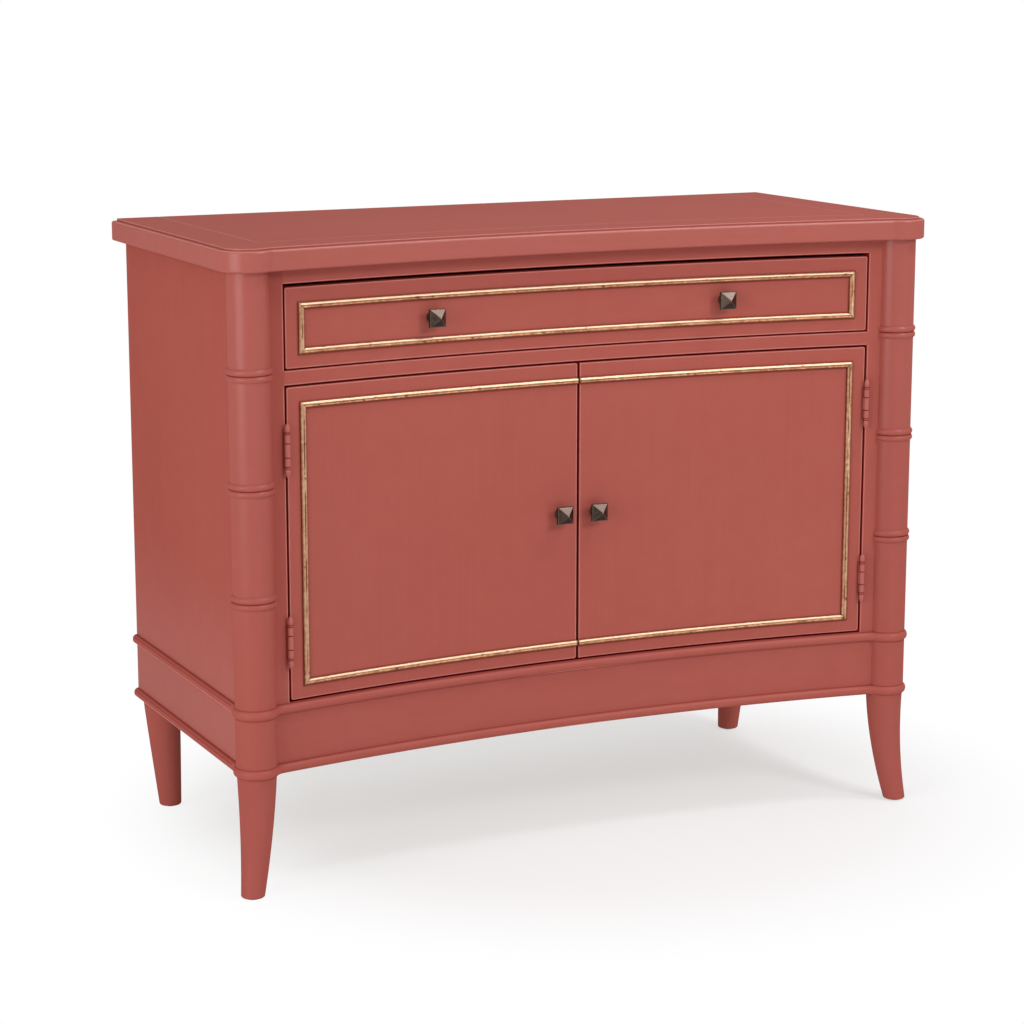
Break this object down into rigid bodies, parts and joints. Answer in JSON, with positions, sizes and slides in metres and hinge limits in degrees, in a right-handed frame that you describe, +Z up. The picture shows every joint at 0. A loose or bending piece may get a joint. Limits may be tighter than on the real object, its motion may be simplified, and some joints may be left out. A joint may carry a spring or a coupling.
{
  "type": "accent cabinet with a drawer and doors",
  "caption": "Painted accent cabinet with a concave front, bamboo-style corner columns, a wide drawer over a two-door cupboard, gilt moulding and sabre front legs.",
  "frame": {"origin": "middle of the footprint's box, on the floor under the feet", "axes": "+X to the cabinet's right seen from the front, -Y out of the front, +Z up"},
  "size_m": [1.067, 0.4871, 0.868],
  "materials": {
    "rosy_red_paint": "satin paint on wood",
    "inside_wood": "clear sealed hardwood",
    "thin_plywood": "sanded plywood",
    "gilt_moulding": "antiqued gold leaf on wood moulding",
    "antique_bronze": "dark antique bronze, edges rubbed",
    "painted_hinge_metal": "satin paint over steel",
    "zinc_steel": "zinc plated",
    "dark_nylon": "matte"
  },
  "bodies": {
    "case": {"top_panel": "rosy_red_paint", "left_side_panel": "rosy_red_paint", "right_side_panel": "rosy_red_paint", "top_rail": "rosy_red_paint", "middle_rail": "rosy_red_paint", "front_apron": "rosy_red_paint", "left_stile": "rosy_red_paint", "right_stile": "rosy_red_paint", "left_column": "rosy_red_paint", "right_column": "rosy_red_paint", "upper_base_moulding": "rosy_red_paint", "lower_base_moulding": "rosy_red_paint", "front_left_leg": "rosy_red_paint", "front_right_leg": "rosy_red_paint", "rear_left_leg": "rosy_red_paint", "rear_right_leg": "rosy_red_paint", "bottom_panel": "inside_wood", "drawer_divider": "inside_wood", "rear_top_rail": "inside_wood", "rear_apron": "inside_wood", "rear_leg_blocks": "inside_wood", "leg_dowels": "inside_wood", "drawer_guides": "inside_wood", "drawer_kickers": "inside_wood", "drawer_stops": "inside_wood", "shelf": "inside_wood", "back_panel": "thin_plywood", "left_hinge_frame_leaves": "painted_hinge_metal", "right_hinge_frame_leaves": "painted_hinge_metal", "left_hinge_pins": "painted_hinge_metal", "right_hinge_pins": "painted_hinge_metal", "frame_hinge_screws": "zinc_steel", "back_screws": "zinc_steel", "shelf_pins": "zinc_steel", "magnetic_catches": "dark_nylon", "foot_glides": "dark_nylon"},
    "drawer": {"drawer_front": "rosy_red_paint", "drawer_trim": "gilt_moulding", "drawer_left_side": "inside_wood", "drawer_right_side": "inside_wood", "drawer_back": "inside_wood", "drawer_bottom": "thin_plywood", "drawer_left_knob": "antique_bronze", "drawer_right_knob": "antique_bronze", "drawer_knob_screws": "zinc_steel"},
    "left_door": {"left_door_panel": "rosy_red_paint", "left_door_trim": "gilt_moulding", "left_door_knob": "antique_bronze", "left_door_knob_screw": "zinc_steel", "left_door_hinge_leaves": "painted_hinge_metal", "left_door_hinge_screws": "zinc_steel", "left_door_strike": "zinc_steel"},
    "right_door": {"right_door_panel": "rosy_red_paint", "right_door_trim": "gilt_moulding", "right_door_knob": "antique_bronze", "right_door_knob_screw": "zinc_steel", "right_door_hinge_leaves": "painted_hinge_metal", "right_door_hinge_screws": "zinc_steel", "right_door_strike": "zinc_steel"}
  },
  "joints": [
    {"name": "drawer_slide", "type": "slide", "parent": "case", "child": "drawer", "axis": [0, -1, 0], "range_m": [0, 0.33]},
    {"name": "left_door_hinge", "type": "hinge", "parent": "case", "child": "left_door", "pos_m": [-0.446, -0.2114, 0.47], "axis": [0, 0, -1], "range_deg": [0, 110]},
    {"name": "right_door_hinge", "type": "hinge", "parent": "case", "child": "right_door", "pos_m": [0.446, -0.2114, 0.47], "axis": [0, 0, 1], "range_deg": [0, 110]}
  ]
}
